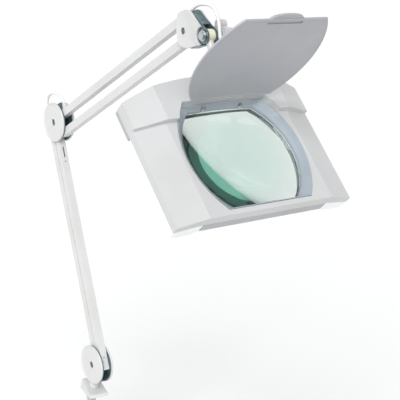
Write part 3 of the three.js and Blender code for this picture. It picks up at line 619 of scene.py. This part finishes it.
# ---------------------------------------------------------------- diffusers
def diffuser_mesh(side):
    """A ribbed opal tray under a lamp, open at the top."""
    inner_y, outer_y = CREASE + 1.4, 158.4
    low, ribs = -42, 13
    outside = [(inner_y, -18.4), (inner_y, -35), (123, low + 0.8)]
    for i in range(ribs):
        y = 123 + (149 - 123) * (i + 0.5) / ribs
        outside += [(y - 0.2, low), (y + 0.2, low), (y + 1.0, low + 0.8)]
    outside += [*curve((149, low + 0.8), (156.2, -41), (157, -36), 6), (outer_y, -26.4)]
    inside = [(156.4, -26.6), (155, -36), (148, -39.6), (124, -39.6), (inner_y + 1.8, -34),
              (inner_y + 1.8, -18.4)]
    rear, front = STEP_X + 3, HEAD_FRONT - 0.4

    def flip(points):
        return [(side * y, z) for y, z in points]

    ends = [extrude(flip(outside), rear, rear + 1.8, "X"), extrude(flip(outside), front - 1.8, front, "X")]
    middle = side * 136.5
    window = block(-70, -50, middle - 15.5, middle + 15.5, -31, 0)
    tray = combine(extrude(flip(outside + inside), rear, front, "X"), "UNION", *ends)
    return combine(tray, "DIFFERENCE", window)


# ---------------------------------------------------------------- leads
ELBOW_ROUTE = [(-32, 0, 8), (-37, 0, 15), (-41.5, 0, 24), (-42.5, 0, 33), (-38.5, 0, 41.5), (-29.5, 0, 48.5),
               (-17, 0, 51.8), (-4, 0, 50.6), (6, 0, 48), (13, 0, 44.6), (17.4, 0, 40.6), (19.6, 0, 37.1),
               (21.8, 0, 32.7)]
HEAD_ROUTE = [(2.4, 0, 26.2), (5, 0.5, 30.5), (10.2, 2, 35.1), (19, 4, 38.8), (29.1, 6, 39.7), (37.5, 8, 38),
              (45, 10, 34), (51.5, 10.8, 26.5), (55.6, 11, 16), (57.6, 11, 4), (60, 11, -10), (64, 12.4, -25),
              (70.5, 18.5, -38.5), (76.5, 26, -48), (79.4, 29.7, -54.6), (77, 30, -58.9), (73.2, 30, -62.2),
              (69, 30, -65.9)]


def lead(name, route, place, node):
    """A lead that arches from one body to another."""
    path = smooth_path(route, 6)
    obj = piece(name, tube(path, LEAD_R), place, SHEATH, None, (node,), angle=60)
    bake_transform(obj)


# ---------------------------------------------------------------- lens
def lens_mesh():
    outline = barrel(LENS, 0, 24)
    rings = 22
    mesh = bmesh.new()
    layers = []
    for face in (1, -1):
        centre = mesh.verts.new((0, 0, LENS_Z + face * LENS_THICK / 2))
        layer = []
        for ring in range(1, rings + 1):
            t = ring / rings
            row = []
            for px, py in outline:
                x, y = px * t, py * t
                rise = LENS_THICK / 2 - (x * x + y * y) / (2 * LENS_R)
                row.append(mesh.verts.new((x, y, LENS_Z + face * rise)))
            layer.append(row)
        count = len(outline)
        for i in range(count):
            j = (i + 1) % count
            mesh.faces.new((centre, layer[0][i], layer[0][j]))
            for a, b in zip(layer, layer[1:]):
                mesh.faces.new((a[i], b[i], b[j], a[j]))
        layers.append(layer[-1])
    for i in range(len(outline)):
        j = (i + 1) % len(outline)
        mesh.faces.new((layers[0][i], layers[1][i], layers[1][j], layers[0][j]))
    return mesh


def bezel_mesh():
    """The sloped wall from the opening's rim down to the lens, with a small lip at the top."""
    return loft([(barrel(OPENING, 0.1), -0.3), (barrel(OPENING, 0.15), 0.15), (barrel(OPENING, 0.6), 0.4),
                 (barrel(OPENING, 1.7), 0.4), (barrel(LENS, 2.6), -10), (barrel(LENS, 2.6), -21),
                 (barrel(LENS, 0.5), -21), (barrel(LENS, 0.5), -9.4), (barrel(LENS, 0.8), -8.9)], closed=True)


def lens_clip(y):
    """A bent spring clip that holds the lens from above."""
    side = [(-82.8, -2.0), (-82.0, -2.0), (-80.6, -6.6), (-76.6, -8.1), (-76.3, -7.2), (-79.8, -5.6),
            (-81.2, -1.2), (-82.8, -1.2)]
    return extrude(side, y - 3.5, y + 3.5, "Y")


# ---------------------------------------------------------------- lens cover
def lid_mesh():
    """The hinged cover: a flat moulding with a raised border, finger tab, finger slot and two hinge lugs."""
    low = LID_LOW - LID_AXIS[1]
    move = -LID_AXIS[0]

    def ring(grow, z):
        return [(x + move, y) for x, y in barrel(LID, grow)], low + z

    panel = loft([ring(-4.4, 0.45), ring(-3.4, 0.45), ring(-2.8, 0), ring(-0.7, 0), ring(-0.15, 0.25),
                  ring(0, 0.8), ring(0, 2.1), ring(-0.3, 2.7), ring(-1.1, 3.0), ring(-2.1, 3.0)])
    front = LID[2] / 2 + move
    tab = [(front - 14, -29), (front, -29), *curve((front, -29), (front + 7, -25), (front + 7.5, 0)),
           *curve((front + 7.5, 0), (front + 7, 25), (front, 29)), (front - 14, 29)]
    slot = block(front - 9.6, front - 5, -31, 31, low - 1, low + 2)
    rear = -LID[2] / 2 + move
    lug = [(rear + 5, low + 0.2), (rear + 5, -0.4), (rear + 1, 3.6), (0, 3.6), *arc(0, 0, 3.6, 99, 261, 16),
           (0, -3.6), (rear - 0.2, -3.6), (rear - 0.2, low + 0.2)]
    lugs = [extrude(lug, y - 4.5, y + 4.5, "Y") for y in (-48, 48)]
    whole = combine(panel, "UNION", extrude(tab, low + 1.2, low + 4.4, "Z"), *lugs)
    return combine(whole, "DIFFERENCE", slot, extrude(arc(0, 0, 1.8, 0, 345, 23), -70, 70, "Y"))


# ---------------------------------------------------------------- stage
def build_stage():
    mesh = bmesh.new()
    bmesh.ops.create_grid(mesh, x_segments=8, y_segments=8, size=45)
    data = bpy.data.meshes.new("floor")
    mesh.to_mesh(data)
    mesh.free()
    floor = bpy.data.objects.new("floor", data)
    floor.location = (0, 0, FLOOR_Z)
    made = Nodes("floor_paper")
    tone = made.mix(made.ramp(made.noise(0.4, 2), 0, 1), (0.91, 0.91, 0.91), (0.92, 0.92, 0.92))
    made.link(tone, made.shader.inputs["Base Color"])
    made.set(Roughness=0.9)
    data.materials.append(made.material)
    bpy.context.scene.collection.objects.link(floor)


def sun(name, azimuth, elevation, strength, softness, colour=(1, 1, 1)):
    """A soft light from a direction given as the camera's is: azimuth 0 is from -Y, 90 from +X."""
    data = bpy.data.lights.new(name, "SUN")
    data.energy = strength
    data.angle = math.radians(softness)
    data.color = colour
    light = bpy.data.objects.new(name, data)
    turn, rise = math.radians(azimuth), math.radians(elevation)
    towards = Vector((math.sin(turn) * math.cos(rise), -math.cos(turn) * math.cos(rise), math.sin(rise)))
    light.rotation_euler = (-towards).to_track_quat("-Z", "Y").to_euler()
    bpy.context.scene.collection.objects.link(light)


def build_light():
    """A soft key from the front, and a room that is bright at eye level and dimmer overhead."""
    world = bpy.data.worlds.new("studio")
    world.use_nodes = True
    tree = world.node_tree
    sky = tree.nodes["Background"]
    sky.inputs["Color"].default_value = (0.98, 0.99, 1.0, 1)
    place = tree.nodes.new("ShaderNodeTexCoord")
    split = tree.nodes.new("ShaderNodeSeparateXYZ")
    fade = tree.nodes.new("ShaderNodeMapRange")
    fade.interpolation_type = "SMOOTHSTEP"
    for key, value in (("From Min", 0.12), ("From Max", 0.5), ("To Min", 1.06), ("To Max", 0.42)):
        fade.inputs[key].default_value = value
    tree.links.new(place.outputs["Generated"], split.inputs["Vector"])
    tree.links.new(split.outputs["Z"], fade.inputs["Value"])
    tree.links.new(fade.outputs["Result"], sky.inputs["Strength"])
    bpy.context.scene.world = world
    sun("key", 42, 34, 2.85, 42)
    sun("back", 225, 48, 0.55, 60)
    bpy.context.scene.view_settings.view_transform = "Standard"


def build_camera():
    data = bpy.data.cameras.new("camera")
    data.lens = CAMERA_LENS
    data.sensor_width = 36
    data.clip_start = 0.02
    data.clip_end = 120
    camera = bpy.data.objects.new("camera", data)
    azimuth, elevation = math.radians(CAMERA_AZIMUTH), math.radians(CAMERA_ELEVATION)
    look = Vector((-math.sin(azimuth) * math.cos(elevation), math.cos(azimuth) * math.cos(elevation),
                   -math.sin(elevation)))
    camera.location = CAMERA_AT
    camera.rotation_euler = look.to_track_quat("-Z", "Y").to_euler()
    bpy.context.scene.collection.objects.link(camera)
    bpy.context.scene.camera = camera


def build_leads():
    lead("elbow_lead_sheath", ELBOW_ROUTE, ELBOW, "elbow_lead")
    lead("head_lead_sheath", HEAD_ROUTE, ARM_END, "head_lead")
    piece("elbow_lead_entry", gland_mesh(TUBE / 2 + 0.3, 5.6, 3.7, 11),
          UPPER_TOP @ Matrix.Translation((GLAND_ALONG, 0, 0)), SHELL, "upper_top",
          ("elbow_lead_gland",), angle=50)
    piece("head_lead_entry", gland_mesh(STEP_UP + 0.3, 6.2, 4.2, 9.5),
          HEAD @ Matrix.Translation((*HEAD_GLAND, 0)), SHELL, "head", ("head_lead_gland",), angle=50)


def build_head():
    for name, side in (("left", -1), ("right", 1)):
        piece(f"diffuser_tray_{name}", diffuser_mesh(side), HEAD, OPAL, "head", (f"diffuser_{name}",))
    piece("lens_blank", lens_mesh(), HEAD, GLASS, "head", ("lens",), angle=50)
    piece("lens_well", bezel_mesh(), HEAD, BEZEL_PAINTED_SHADE, "head", ("lens_bezel",), angle=40)
    for name, y in (("left", -34), ("right", 34)):
        piece(f"lens_clip_{name}", lens_clip(y), HEAD, STEEL, "head", edge=0.2)
    piece("cover_moulding_painted_shade", lid_mesh(), LID_FRAME, LID_PAINTED_SHADE_GREY, "cover", ("lens_cover",), angle=20)


build_camera()
build_leads()
joint_covers()
piece("fork_strap", strap_mesh(), ARM_END, ZINC, "arm_end", angle=40)
build_head()
dress_cad()
build_light()
build_stage()
